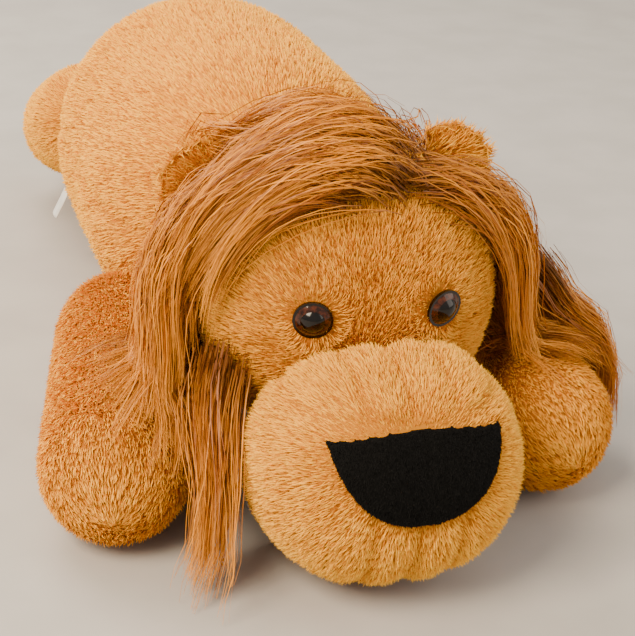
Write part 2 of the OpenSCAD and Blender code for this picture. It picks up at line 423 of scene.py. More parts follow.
@dataclass(frozen=True)
class ClothFinish:
    """Plain cloth or moulded nylon with a fine regular grain."""

    name: str
    slot: str
    dark: str
    light: str
    threads: float
    roughness: float = 0.7

    def material(self) -> bpy.types.Material:
        """Makes the material, with threads that cross each other.

        Returns:
            The material.
        """
        paint = Paint(self.name)
        place = paint.add("ShaderNodeTexCoord").outputs["Object"]
        waves = [paint.value("ShaderNodeTexWave", {"bands_direction": axis}, {
            "Vector": place, "Scale": self.threads, "Distortion": 0.4}, "Fac") for axis in ("Y", "Z")]
        weave = (waves[0] + waves[1]) * 0.5
        soil = paint.object_noise(90.0).between(0.3, 0.8)
        return paint.finish({
            "Base Color": paint.blend(soil * 0.6 + weave * 0.3, linear(self.dark), linear(self.light)),
            "Roughness": self.roughness - weave * 0.15,
            "Normal": paint.bump(weave, 0.4, 0.0003)})


BODY_FUR = FurFinish("body_fur", "body_fur", "#c4801e", "#e69a22", "#ffc236", "#ffcd4c")
FACE_FUR = FurFinish("face_fur", "body_fur", "#a86614", "#dc9424", "#ffc03a", "#ffcd54")
MUZZLE_FUR = FurFinish("muzzle_fur", "muzzle_fur", "#b87616", "#e69e24", "#ffc63c", "#ffd152")
MANE_FUR = FurFinish("mane_fur", "mane_fur", "#5e3006", "#8e4c09", "#e4941e", "#f6ae38", tip_share=0.2,
    roughness=0.45, sheen=0.02, shine=0.3)
NOSE_FUR = FurFinish("nose_velboa", "nose_velboa", "#030303", "#050505", "#0b0b0b", "#121212",
    sheen=0.05, sheen_tint="#505050", roughness=0.85, shine=0.15)
EYE_BLACK = EyeFinish("eye_black", "eye_black", "#050302", "#0d0806")
EYE_BROWN = EyeFinish("eye_brown", "eye_brown", "#1e0c05", "#4c2310")
NYLON = ClothFinish("lock_washer", "lock_washer", "#dcdcd6", "#f5f5f0", 300.0, 0.5)
SATIN = ClothFinish("satin_label", "satin_label", "#c9c9c6", "#efefec", 900.0, 0.5)


class Wardrobe:
    """Makes each finish's material once."""

    def __init__(self) -> None:
        """Starts with nothing made."""
        self.made: dict[str, bpy.types.Material] = {}

    def material(self, finish: object) -> bpy.types.Material:
        """Gives a finish's material."""
        if finish.name not in self.made:
            self.made[finish.name] = finish.material()
        return self.made[finish.name]

    def dress(self, obj: bpy.types.Object, finish: object) -> None:
        """Gives an object one finish all over.

        Args:
            obj: The object.
            finish: Any of the finishes.
        """
        obj.data.materials.clear()
        obj.data.materials.append(self.material(finish))
        obj.data.polygons.foreach_set("material_index", np.zeros(len(obj.data.polygons), np.int32))


# ---- pile -----------------------------------------------------------------------------------------


@dataclass(frozen=True)
class Pile:
    """How a fur cloth's hairs stand, in metres and hairs to the square metre."""

    density: float
    length: float
    width: float
    lean: float = 1.15
    clump: float = 0.008
    seed: int = 1


class PileTree:
    """The Geometry Nodes tree that grows hairs on a panel.

    A panel's vertices carry four attributes: comb, the direction that the hairs lie in; cover, the share
    of hairs; reach, the share of their length; and shade, a shift of their tone.
    """

    GATHER = 0.3              # how strongly the hairs of a clump lean together
    RUFFLE = 0.55             # how far they stray
    TONE = 0.2                # how far one hair's tone is from the next's
    PATCHES = 45.0            # patches of tone to the metre
    PATCH_TONE = 0.5
    INPUTS = {"Blade": "Object", "Density": "Float", "Length": "Float", "Width": "Float", "Lean": "Float",
        "Clump": "Float", "Seed": "Int", "Finish": "Material"}

    def __init__(self) -> None:
        """Makes the blade and the tree."""
        self.blade = self.make_blade()
        self.tree = bpy.data.node_groups.new("Pile", "GeometryNodeTree")
        self.ids: dict[str, str] = {}
        self.build()

    @staticmethod
    def make_blade() -> bpy.types.Object:
        """Makes one hair, one metre long and wide, bent over towards +Y.

        Returns:
            The hair, hidden.
        """
        points = np.array([[-0.5, 0, 0], [0.5, 0, 0], [0.38, 0.12, 0.6], [-0.38, 0.12, 0.6], [0, 0.4, 1.0]])
        mesh = bpy.data.meshes.new("blade")
        mesh.from_pydata(points.tolist(), [], [(0, 1, 2, 3), (3, 2, 4)])
        layer = mesh.uv_layers.new(name=UV_NAME)
        for loop in mesh.loops:
            place = points[loop.vertex_index]
            layer.data[loop.index].uv = (place[0], place[2])
        obj = bpy.data.objects.new("blade", mesh)
        bpy.context.scene.collection.objects.link(obj)
        obj.hide_render = True
        return obj

    def build(self) -> None:
        """Builds the tree: points on the faces, a hair on each, then plain mesh with one material."""
        graph = Graph(self.tree)
        sockets = self.tree.interface
        sockets.new_socket("Geometry", in_out="INPUT", socket_type="NodeSocketGeometry")
        sockets.new_socket("Geometry", in_out="OUTPUT", socket_type="NodeSocketGeometry")
        for name, kind in self.INPUTS.items():
            made = sockets.new_socket(name, in_out="INPUT", socket_type="NodeSocket" + kind)
            self.ids[name] = made.identifier
        given = graph.add("NodeGroupInput").outputs
        seed = Value(graph, given["Seed"])
        points = graph.add("GeometryNodeDistributePointsOnFaces", {"distribute_method": "RANDOM"}, {
            "Mesh": given["Geometry"], "Seed": given["Seed"],
            "Density": Value(graph, given["Density"]) * self.stored(graph, "cover", "FLOAT")})
        direction = self.direction(graph, given, points.outputs["Normal"])
        tone = self.random(graph, -self.TONE, self.TONE, seed) + self.stored(graph, "shade", "FLOAT")
        patch = self.noise(graph, self.PATCHES, 2.0, "Fac")
        tone = tone + 0.5 + (patch - 0.5) * self.PATCH_TONE
        cloud = self.store(graph, points.outputs["Points"], "tone", "FLOAT", "POINT", tone)
        turn = graph.add("FunctionNodeAxisAngleToRotation", None, {
            "Axis": (0.0, 0.0, 1.0), "Angle": self.random(graph, 0.0, 2 * math.pi, seed + 7.0)})
        aligned = graph.add("FunctionNodeAlignRotationToVector", {"axis": "Z"}, {"Vector": direction})
        rotation = graph.add("FunctionNodeRotateRotation", {"rotation_space": "LOCAL"}, {
            "Rotation": aligned.outputs[0], "Rotate By": turn.outputs[0]})
        length = Value(graph, given["Length"]) * self.stored(graph, "reach", "FLOAT")
        length = length * self.random(graph, 0.65, 1.1, seed + 13.0)
        size = graph.add("ShaderNodeCombineXYZ", None, {0: given["Width"], 1: length * 0.6, 2: length})
        blade = graph.add("GeometryNodeObjectInfo", {"transform_space": "ORIGINAL"}, {
            "Object": given["Blade"]})
        hairs = graph.add("GeometryNodeInstanceOnPoints", None, {
            "Points": cloud, "Instance": blade.outputs["Geometry"], "Rotation": rotation.outputs[0],
            "Scale": size.outputs[0]})
        real = graph.add("GeometryNodeRealizeInstances", None, {"Geometry": hairs.outputs["Instances"]})
        mapped = self.mapped(graph, real.outputs["Geometry"])
        both = graph.add("GeometryNodeJoinGeometry")
        graph.tree.links.new(mapped, both.inputs[0])
        graph.tree.links.new(given["Geometry"], both.inputs[0])
        dressed = graph.add("GeometryNodeSetMaterial", None, {
            "Geometry": both.outputs[0], "Material": given["Finish"]})
        graph.add("NodeGroupOutput", None, {0: dressed.outputs[0]})

    @staticmethod
    def stored(graph: Graph, name: str, kind: str) -> Value:
        """Reads an attribute of that name and data type."""
        return graph.value("GeometryNodeInputNamedAttribute", {"data_type": kind}, {
            "Name": name}, "Attribute")

    @staticmethod
    def store(
        graph: Graph, geometry: object, name: str, kind: str, domain: str, value: object
    ) -> bpy.types.NodeSocket:
        """Stores an attribute.

        Args:
            graph: The tree.
            geometry: The geometry that gets it.
            name: The attribute's name.
            kind: Its data type.
            domain: POINT or CORNER.
            value: What it holds.

        Returns:
            The geometry with the attribute.
        """
        node = graph.add("GeometryNodeStoreNamedAttribute", {"data_type": kind, "domain": domain}, {
            "Geometry": geometry, "Name": name, "Value": value})
        return node.outputs["Geometry"]

    @staticmethod
    def random(graph: Graph, low: float, high: float, seed: object) -> Value:
        """A random number for each hair."""
        return graph.value("FunctionNodeRandomValue", {"data_type": "FLOAT"}, {
            "Min": low, "Max": high, "Seed": seed}, "Value")

    @staticmethod
    def noise(graph: Graph, scale: object, detail: float, output: str) -> Value:
        """A noise over the place of each hair."""
        return graph.value("ShaderNodeTexNoise", None, {"Scale": scale, "Detail": detail}, output)

    def direction(self, graph: Graph, given: object, normal: bpy.types.NodeSocket) -> bpy.types.NodeSocket:
        """Works out where each hair points: up, combed over, ruffled and gathered into small clumps.

        Args:
            graph: The tree.
            given: The tree's input sockets.
            normal: The way the panel faces at each hair.

        Returns:
            The direction.
        """
        clump = 1.0 / Value(graph, given["Clump"])
        cells = graph.add("ShaderNodeTexVoronoi", None, {"Scale": clump, "Randomness": 1.0})
        here = graph.add("GeometryNodeInputPosition").outputs[0]
        gather = graph.scaled(graph.vector("SUBTRACT", cells.outputs["Position"], here), clump)
        ruffle = self.noise(graph, clump * 0.45, 1.0, "Color").socket
        loose = graph.vector("SUBTRACT", ruffle, (0.5, 0.5, 0.5))
        comb = graph.scaled(self.stored(graph, "comb", "FLOAT_VECTOR").socket, given["Lean"])
        total = graph.vector("ADD", graph.scaled(normal, 0.75), comb)
        total = graph.vector("ADD", total, graph.scaled(gather, self.GATHER))
        return graph.vector("ADD", total, graph.scaled(loose, self.RUFFLE))

    def mapped(self, graph: Graph, geometry: bpy.types.NodeSocket) -> bpy.types.NodeSocket:
        """Gives each hair its place on the map: its tone across and its length along.

        Args:
            graph: The tree.
            geometry: The hairs.

        Returns:
            The hairs with their map.
        """
        own = graph.add("ShaderNodeSeparateXYZ", None, {0: self.stored(graph, UV_NAME, "FLOAT_VECTOR")})
        tone = self.stored(graph, "tone", "FLOAT").math("MAXIMUM", self.stored(graph, "tone", "FLOAT"), 0.03)
        across = tone.math("MINIMUM", tone, 0.97) + Value(graph, own.outputs["X"]) * 0.04
        along = Value(graph, own.outputs["Y"]) * 0.9 + 0.08
        uv = graph.add("ShaderNodeCombineXYZ", None, {0: across, 1: along})
        return self.store(graph, geometry, UV_NAME, "FLOAT2", "CORNER", uv.outputs[0])

    def grow(self, panel: bpy.types.Object, pile: Pile, material: bpy.types.Material) -> None:
        """Grows the pile on a panel and makes the two one plain mesh.

        Args:
            panel: The panel, with its four attributes.
            pile: How the hairs stand.
            material: What the panel and its hairs are dyed.
        """
        modifier = panel.modifiers.new("Pile", "NODES")
        modifier.node_group = self.tree
        given = {"Blade": self.blade, "Density": pile.density, "Length": pile.length, "Width": pile.width,
            "Lean": pile.lean, "Clump": pile.clump, "Seed": pile.seed, "Finish": material}
        for name, value in given.items():
            modifier[self.ids[name]] = value
        settled(panel)
        mesh = panel.data
        for name in ("comb", "cover", "reach", "shade", "tone"):
            if name in mesh.attributes:
                mesh.attributes.remove(mesh.attributes[name])
        points = points_of(panel)
        points[:, 2] = np.maximum(points[:, 2], FLOOR_CLEAR)
        set_points(panel, points)
        mesh.shade_smooth()

    def clear(self) -> None:
        """Removes the loose blade."""
        discard(self.blade)


# ---- soft forms -----------------------------------------------------------------------------------


@dataclass(frozen=True)
class Seam:
    """A plane that a form is cut along."""

    place: Vector
    normal: Vector

    def side(self, points: Array) -> Array:
        """How far points lie in front of the plane."""
        return (points - np.array(self.place)) @ np.array(self.normal.normalized())


@dataclass
class SoftForm:
    """A stuffed form. Its surface lies inside the CAD solid by the depth of its pile."""

    name: str
    nodes: tuple[str, ...]
    hulled: bool = False      # take the hull of the nodes, to close over the sockets in them
    voxel: float = 0.005
    depth: float = -0.0005    # below the nodes' surface
    swell: float = 0.0015     # how far the stuffing pushes it out
    seams: tuple[Seam, ...] = ()
    obj: bpy.types.Object | None = field(default=None, init=False)

    PRESSURE = 4.0
    PUFF_STEPS = 20
    HELD_BY_SEAM = (0.012, 0.004)      # from free to held, by the distance to a seam
    HELD_BY_FLOOR = (0.022, 0.012)     # and by the height over the floor
    SEAM_PULL = 0.0018
    SEAM_WIDTH = 0.009

    def make(self) -> "SoftForm":
        """Makes the form.

        Returns:
            The form itself.
        """
        self.obj = self.hull() if self.hulled else self.joined()
        self.remesh()
        self.set_in()
        self.puff()
        self.pull_seams()
        self.cut_seams()
        return self

    def hull(self) -> bpy.types.Object:
        """Makes the hull of the nodes."""
        shape = bmesh.new()
        for point in np.unique(node_points(*self.nodes).round(4), axis=0):
            shape.verts.new(point)
        made = bmesh.ops.convex_hull(shape, input=shape.verts)
        bmesh.ops.delete(shape, geom=list(set(made["geom_unused"] + made["geom_interior"])), context="VERTS")
        return self.to_object(shape)

    def joined(self) -> bpy.types.Object:
        """Copies the nodes into one mesh."""
        shape = bmesh.new()
        for node in self.nodes:
            shape.from_mesh(frame["nodes"][node].data)
        bmesh.ops.remove_doubles(shape, verts=shape.verts, dist=1e-5)
        return self.to_object(shape)

    def to_object(self, shape: bmesh.types.BMesh) -> bpy.types.Object:
        """Makes an object of a shape, with its faces outwards."""
        bmesh.ops.recalc_face_normals(shape, faces=shape.faces)
        mesh = bpy.data.meshes.new(self.name)
        shape.to_mesh(mesh)
        shape.free()
        obj = bpy.data.objects.new(self.name, mesh)
        bpy.context.scene.collection.objects.link(obj)
        return obj

    def remesh(self) -> None:
        """Makes the surface even, and takes the corners off it."""
        even = self.obj.modifiers.new("Even", "REMESH")
        even.mode = "VOXEL"
        even.voxel_size = self.voxel
        soft = self.obj.modifiers.new("Soft", "SMOOTH")
        soft.iterations = 6
        settled(self.obj)

    def set_in(self) -> None:
        """Moves the surface in to leave room for the pile, less so where the form rests on the floor."""
        points = points_of(self.obj)
        normals = normals_of(self.obj)
        under = ramp(-normals[:, 2], 0.3, 0.95) * ramp(points[:, 2], 0.03, 0.008)
        depth = (self.depth + self.swell) * (1 - 0.8 * under)
        set_points(self.obj, points - normals * depth[:, None])

    def seam_distance(self, points: Array) -> Array:
        """How far points are from the nearest seam."""
        far = np.full(len(points), 1.0)
        for seam in self.seams:
            far = np.minimum(far, np.abs(seam.side(points)))
        return far

    def puff(self) -> None:
        """Lets the stuffing push the skin out between the seams, as cloth under pressure."""
        start = points_of(self.obj)
        by_seam = ramp(self.seam_distance(start), *self.HELD_BY_SEAM)
        held = np.maximum(by_seam, ramp(start[:, 2], *self.HELD_BY_FLOOR))
        group = self.obj.vertex_groups.new(name="held")
        for index in np.flatnonzero(held > 0.02):
            group.add([int(index)], float(held[index]), "REPLACE")
        cloth = self.obj.modifiers.new("Stuffing", "CLOTH")
        cloth.settings.quality = 4
        cloth.settings.use_pressure = True
        cloth.settings.uniform_pressure_force = self.PRESSURE
        cloth.settings.vertex_group_mass = "held"
        cloth.settings.effector_weights.gravity = 0.0
        cloth.collision_settings.use_collision = False
        cloth.point_cache.frame_end = self.PUFF_STEPS
        for step in range(1, self.PUFF_STEPS + 1):
            bpy.context.scene.frame_set(step)
        settled(self.obj)
        bpy.context.scene.frame_set(1)
        moved = points_of(self.obj) - start
        far = np.linalg.norm(moved, axis=1, keepdims=True)
        cap = 2 * self.swell
        set_points(self.obj, start + moved * np.minimum(1, cap / np.maximum(far, 1e-9)))
        self.obj.vertex_groups.clear()

    def pull_seams(self) -> None:
        """Draws the surface in along the seams."""
        points = points_of(self.obj)
        pull = self.SEAM_PULL * ramp(self.seam_distance(points), self.SEAM_WIDTH, 0.0)
        set_points(self.obj, points - normals_of(self.obj) * pull[:, None])

    def cut_seams(self) -> None:
        """Adds edges along the seams."""
        shape = bmesh.new()
        shape.from_mesh(self.obj.data)
        for seam in self.seams:
            everything = shape.verts[:] + shape.edges[:] + shape.faces[:]
            bmesh.ops.bisect_plane(
                shape, geom=everything, plane_co=seam.place, plane_no=seam.normal, dist=1e-5)
        bmesh.ops.triangulate(shape, faces=[f for f in shape.faces if len(f.verts) > 4])
        shape.to_mesh(self.obj.data)
        shape.free()

    def panel(self, name: str, keep: Array) -> bpy.types.Object:
        """Copies part of the form.

        Args:
            name: The panel's name.
            keep: Whether each face belongs to the panel.

        Returns:
            The panel, with a map for its backing.
        """
        shape = bmesh.new()
        shape.from_mesh(self.obj.data)
        gone = [face for face, kept in zip(shape.faces, keep) if not kept]
        bmesh.ops.delete(shape, geom=gone, context="FACES")
        mesh = bpy.data.meshes.new(name)
        shape.to_mesh(mesh)
        shape.free()
        obj = bpy.data.objects.new(name, mesh)
        bpy.context.scene.collection.objects.link(obj)
        self.map_backing(obj)
        return obj

    @staticmethod
    def map_backing(obj: bpy.types.Object) -> None:
        """Maps a bare panel to the root end of the hairs' map."""
        points = points_of(obj)
        low, high = points.min(axis=0), points.max(axis=0)
        share = (points - low) / np.maximum(high - low, 1e-6)
        across = 0.2 + 0.6 * (0.55 * share[:, 0] + 0.45 * share[:, 1])
        along = 0.005 + 0.03 * (0.7 * share[:, 2] + 0.3 * share[:, 1])
        corners = np.empty(len(obj.data.loops), np.int32)
        obj.data.loops.foreach_get("vertex_index", corners)
        layer = obj.data.uv_layers.new(name=UV_NAME)
        layer.data.foreach_set("uv", np.stack([across, along], axis=1)[corners].astype(np.float32).ravel())

    def face_centres(self) -> Array:
        """Reads the middle of each face."""
        flat = np.empty(len(self.obj.data.polygons) * 3, np.float32)
        self.obj.data.polygons.foreach_get("center", flat)
        return flat.reshape(-1, 3).astype(float)

    def tree(self) -> BVHTree:
        """Makes a tree to look up the nearest point of the form."""
        return BVHTree.FromObject(self.obj, bpy.context.evaluated_depsgraph_get())


@dataclass
class Skin:
    """What is sewn and grown on one panel."""

    name: str
    body: str
    replaces: tuple[str, ...]
    finish: FurFinish
    pile: Pile
    fill: float = 0.8


class Tailor:
    """Sews the panels: it gives each its attributes, pile, finish and place in the frame."""

    BURIED = -0.007           # a hair rooted deeper than this in another form is left out
    SEAM_REACH = 0.004        # how far from a seam the hairs are thinner and shorter, and painted darker as shade in the seam
    THIN_AT_SEAM = 0.4
    SHORT_AT_SEAM = 0.35
    # painted shade: how much darker the hairs are painted along a seam
    SEAM_PAINTED_SHADE = 0.15
    THIN_UNDER = 0.9          # where the form lies on the floor

    def __init__(self) -> None:
        """Makes the pile tree and the materials."""
        self.wardrobe = Wardrobe()
        self.pile = PileTree()
        self.forms: list[SoftForm] = []

    def form(self, form: SoftForm) -> SoftForm:
        """Makes a form and keeps it, so that other forms' hairs can be left out where it covers them."""
        self.forms.append(form.make())
        return form

    def buried(self, own: SoftForm, points: Array) -> Array:
        """Finds which points lie well inside another form, where no hair shows.

        Args:
            own: The form that the points are on.
            points: The points.

        Returns:
            True for each point that is buried.
        """
        hidden = np.zeros(len(points), bool)
        for form in self.forms:
            if form is own:
                continue
            low, high = points_of(form.obj).min(axis=0), points_of(form.obj).max(axis=0)
            near = np.flatnonzero(np.all((points > low) & (points < high), axis=1) & ~hidden)
            tree = form.tree()
            for index in near:
                place = Vector(points[index])
                found, normal, _, _ = tree.find_nearest(place)
                hidden[index] = (place - found).dot(normal) < self.BURIED
        return hidden

    def obstacles(self) -> BVHTree:
        """Joins all the forms into one tree to look up the nearest point.

        Returns:
            The tree.
        """
        points, faces, first = [], [], 0
        for form in self.forms:
            points.extend(points_of(form.obj).tolist())
            faces.extend([[first + index for index in face.vertices] for face in form.obj.data.polygons])
            first += len(form.obj.data.vertices)
        return BVHTree.FromPolygons(points, faces)

    def sew(
        self, form: SoftForm, keep: Array, skin: Skin, comb: Array | None = None,
        cover: Array | None = None, reach: Array | None = None, shade: Array | None = None,
    ) -> bpy.types.Object:
        """Sews one panel of a form.

        Args:
            form: The form.
            keep: Whether each of its faces belongs to the panel.
            skin: What the panel is made of.
            comb: The way the hairs lie at each vertex of the form, which needn't be flat on it.
            cover: The share of hairs at each vertex.
            reach: The share of their length.
            shade: The shift of their tone.

        Returns:
            The finished panel.
        """
        points = points_of(form.obj)
        normals = normals_of(form.obj)
        count = len(points)
        comb = np.tile([0.0, 1.0, -0.2], (count, 1)) if comb is None else comb
        comb = unit(comb - normals * np.sum(comb * normals, axis=1, keepdims=True))
        cover = np.ones(count) if cover is None else cover.copy()
        reach = np.ones(count) if reach is None else reach.copy()
        shade = np.zeros(count) if shade is None else shade
        seam = ramp(form.seam_distance(points), self.SEAM_REACH, 0.0)
        cover[self.buried(form, points)] = 0.0
        under = ramp(-normals[:, 2], 0.5, 0.9) * ramp(points[:, 2], 0.02, 0.008)
        cover *= 1 - self.THIN_UNDER * under
        # near a seam the shade attribute is lowered: painted shade in the seam's crease
        for name, kind, values in (
            ("comb", "FLOAT_VECTOR", comb),
            ("cover", "FLOAT", cover * (1 - self.THIN_AT_SEAM * seam)),
            ("reach", "FLOAT", reach * (1 - self.SHORT_AT_SEAM * seam)),
            ("shade", "FLOAT", shade - self.SEAM_PAINTED_SHADE * seam),
        ):
            made = form.obj.data.attributes.new(name, kind, "POINT")
            key = "vector" if kind == "FLOAT_VECTOR" else "value"
            made.data.foreach_set(key, values.astype(np.float32).ravel())
        panel = form.panel(skin.name, keep)
        for name in ("comb", "cover", "reach", "shade"):
            form.obj.data.attributes.remove(form.obj.data.attributes[name])
        self.pile.grow(panel, skin.pile, self.wardrobe.material(skin.finish))
        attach(panel, skin.body)
        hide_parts(*skin.replaces)
        report(panel)
        return panel

    def tidy_up(self) -> None:
        """Removes the bare forms and the loose blade."""
        for form in self.forms:
            discard(form.obj)
        self.pile.clear()


def report(obj: bpy.types.Object) -> None:
    """Logs a piece and its size."""
    LOG.info("%s: %d faces", obj.name, len(obj.data.polygons))


# ---- body, neck, head and legs --------------------------------------------------------------------


@dataclass
class Body:
    """The bolster-shaped body: an upper panel and a belly panel, with a seam low on each side."""

    seam_angle: float = math.radians(18.0)     # below the widest line
    seam_drop: float = 0.012                   # where the two halves meet at the ends, below the middle

    def make(self, tailor: Tailor) -> SoftForm:
        """Makes the form.

        Args:
            tailor: Who makes it.

        Returns:
            The form.
        """
        low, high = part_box("body_back_skin")
        radius = (high.x - low.x) / 2
        middle = Vector((0, 0, high.z - radius - self.seam_drop))
        seam_x = radius * math.cos(self.seam_angle)
        seam_z = radius * math.sin(self.seam_angle) - self.seam_drop
        tilt = math.atan2(seam_z, seam_x)
        self.seams = tuple(
            Seam(middle, Vector((-side * math.sin(tilt), 0, -math.cos(tilt)))) for side in (-1, 1))
        self.form = tailor.form(SoftForm("body_form", ("body_back_skin", "body_belly_skin"), True,
            voxel=0.007, depth=0.0025, seams=self.seams))
        return self.form

    def dress(self, tailor: Tailor) -> bpy.types.Object:
        """Sews the two panels.

        Args:
            tailor: Who sews them.

        Returns:
            The upper panel.
        """
        points = points_of(self.form.obj)
        centres = self.form.face_centres()
        belly = np.minimum(self.seams[0].side(centres), self.seams[1].side(centres)) > 0
        comb = np.stack([np.zeros(len(points)), np.ones(len(points)), np.full(len(points), -0.5)], axis=1)
        pile = Pile(36e4, 0.0066, 0.00105, lean=1.6, clump=0.008, seed=11)
        upper = tailor.sew(self.form, ~belly, Skin("body_upper", "torso", ("body_back_skin", "body_stuffing"),
            BODY_FUR, pile), comb)
        under = Pile(18e4, 0.0066, 0.00125, lean=1.6, clump=0.008, seed=12)
        tailor.sew(self.form, belly, Skin("body_belly", "torso", ("body_belly_skin",), BODY_FUR, under), comb)
        return upper


@dataclass
class Leg:
    """A leg cushion, from its ball in the body to its paw."""

    name: str
    pile: Pile

    def make(self, tailor: Tailor) -> None:
        """Makes the form."""
        self.form = tailor.form(SoftForm(self.name + "_form", (self.name + "_stuffing",), voxel=0.0055))

    def dress(self, tailor: Tailor, finish: FurFinish, heading: Vector) -> None:
        """Sews the skin.

        Args:
            tailor: Who sews it.
            finish: The fur.
            heading: The way from the root to the paw, which the hairs follow.
        """
        points = points_of(self.form.obj)
        comb = np.tile(np.array(heading) + [0, 0, -0.25], (len(points), 1))
        skins = (self.name + "_skin", self.name + "_stuffing")
        tailor.sew(self.form, np.ones(len(self.form.obj.data.polygons), bool),
            Skin(self.name, self.name, skins, finish, self.pile), comb)


@dataclass
class Head:
    """The round head: a face and a back, with the eyes let into the face."""

    seat_lift: float = 0.0025         # the face comes up to the back of each eye
    parting: tuple[float, float] = (0.026, 0.013)    # the fur turns away from an eye between these

    def make(self, tailor: Tailor) -> None:
        """Makes the form."""
        front_low, front_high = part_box("face_skin")
        back_low, back_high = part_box("head_back_skin")
        self.centre = Vector((0, front_high.y, (front_low.z + front_high.z) / 2))
        self.radius = (front_high.x - front_low.x) / 2
        self.front = front_high.y - front_low.y
        self.back = self.radius * 1.07
        self.seam = Seam(self.centre, Vector((0, 1, 0)))
        self.form = tailor.form(SoftForm("head_form", ("face_skin", "head_back_skin"), True,
            voxel=0.0055, depth=0.0025, seams=(self.seam,)))
        self.raise_eye_seats()

    def eye_centres(self) -> Array:
        """Finds the middle of each eye."""
        boxes = [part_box(f"eye_{side}_iris") for side in ("left", "right")]
        return np.array([(low + high) / 2 for low, high in boxes])

    def eye_distance(self, points: Array) -> Array:
        """How far points are from the nearer eye."""
        eyes = self.eye_centres()
        return np.linalg.norm(points[:, None] - eyes[None], axis=2).min(axis=1)

    def raise_eye_seats(self) -> None:
        """Lifts the face to the back of each eye."""
        points = points_of(self.form.obj)
        lift = self.seat_lift * ramp(self.eye_distance(points), 0.03, 0.012)
        set_points(self.form.obj, points + normals_of(self.form.obj) * lift[:, None])

    def dress(self, tailor: Tailor, nose: Vector) -> None:
        """Sews the face and the back of the head.

        Args:
            tailor: Who sews them.
            nose: The middle of the nose, which the hairs lie away from.
        """
        points = points_of(self.form.obj)
        comb = points - np.array(nose)
        comb[:, 2] += 0.03
        distance = self.eye_distance(points)
        eyes = self.eye_centres()
        nearest = eyes[np.linalg.norm(points[:, None] - eyes[None], axis=2).argmin(axis=1)]
        near = ramp(distance, *self.parting)[:, None]
        comb = unit(comb) * (1 - near) + unit(points - nearest) * near * 1.5
        cover = ramp(distance, 0.0115, 0.0125)
        reach = 1 - 0.35 * near[:, 0]
        front = self.form.face_centres()[:, 1] < self.centre.y
        shade = -0.35 * ramp(distance, 0.019, 0.012)
        tailor.sew(self.form, front, Skin("face", "head", ("face_skin", "head_stuffing"), FACE_FUR,
            Pile(95e4, 0.0054, 0.0007, seed=21)), comb, cover, reach, shade)
        tailor.sew(self.form, ~front, Skin("head_back", "head", ("head_back_skin",), FACE_FUR,
            Pile(24e4, 0.0075, 0.0013, clump=0.012, seed=22)), comb)


@dataclass
class Muzzle:
    """Two full cheeks under a bridge panel, with the nose patch set into them."""

    bridge_half: float = 0.026

    def make(self, tailor: Tailor) -> None:
        """Makes the form; where it lies deep in the head, its hairs are left out when it is sewn."""
        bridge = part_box("muzzle_bridge_panel")[0].z
        self.bridge_z = bridge
        seams = (Seam(Vector((0, 0, 0)), Vector((1, 0, 0))), Seam(Vector((0, 0, bridge)), Vector((0, 0, 1))),
            Seam(Vector((self.bridge_half, 0, 0)), Vector((1, 0, 0))),
            Seam(Vector((-self.bridge_half, 0, 0)), Vector((1, 0, 0))))
        self.form = tailor.form(SoftForm("muzzle_form", ("muzzle_stuffing",), voxel=0.0045, depth=0.0,
            seams=seams))

    def dress(self, tailor: Tailor, nose: "Nose") -> None:
        """Sews the three panels.

        Args:
            tailor: Who sews them.
            nose: The nose, which the fur stops at.
        """
        points = points_of(self.form.obj)
        comb = points - np.array(nose.middle)
        inside = nose.inside(points)
        cover = ramp(inside, 0.0035, 0.0015)
        reach = 1 - 0.3 * ramp(inside, -0.012, 0.0)
        centres = self.form.face_centres()
        bridge = (np.abs(centres[:, 0]) < self.bridge_half) & (centres[:, 2] > self.bridge_z)
        shade = -0.25 * ramp(inside, -0.007, 0.0)
        for name, keep, seed in (("muzzle_left", (centres[:, 0] > 0) & ~bridge, 31),
            ("muzzle_right", (centres[:, 0] <= 0) & ~bridge, 32), ("muzzle_bridge", bridge, 33)):
            nodes = (name + "_panel",) + (("muzzle_stuffing",) if name == "muzzle_bridge" else ())
            tailor.sew(self.form, keep, Skin(name, "head", nodes, MUZZLE_FUR,
                Pile(95e4, 0.0054, 0.0007, seed=seed)), comb, cover, reach, shade)


@dataclass
class Nose:
    """The wide nose patch, in short black velboa."""

    pile: Pile = Pile(150e4, 0.0014, 0.0006, lean=1.4, clump=0.004, seed=41)
    lower_z: float = 0.1244   # the rounded lower edge
    lower_r: float = 0.0534
    upper_z: float = -0.0655  # the arched upper edge
    upper_r: float = 0.191

    def make(self, tailor: Tailor) -> None:
        """Makes the form."""
        self.low, self.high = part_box("nose_patch")
        self.middle = Vector((0, self.low.y + 0.004, (self.low.z + self.high.z) / 2 + 0.01))
        self.form = tailor.form(SoftForm("nose_form", ("nose_patch",), voxel=0.0015, depth=0.0008, swell=0.0))

    def inside(self, points: Array) -> Array:
        """How far points lie inside the nose's outline, seen from the front.

        Args:
            points: The points.

        Returns:
            Metres, negative outside.
        """
        in_lower = self.lower_r - np.hypot(points[:, 0], points[:, 2] - self.lower_z)
        in_upper = self.upper_r - np.hypot(points[:, 0], points[:, 2] - self.upper_z)
        front = points[:, 1] < self.high.y
        return np.where(front, np.minimum(in_lower, in_upper), -0.05)

    def dress(self, tailor: Tailor) -> None:
        """Sews the patch."""
        everything = np.ones(len(self.form.obj.data.polygons), bool)
        points = points_of(self.form.obj)
        outward = ramp(-normals_of(self.form.obj)[:, 1], -0.2, 0.1)
        tailor.sew(self.form, everything, Skin("nose", "head", ("nose_patch",), NOSE_FUR, self.pile, 0.5),
            np.tile([0.0, -0.1, -1.0], (len(points), 1)), outward)


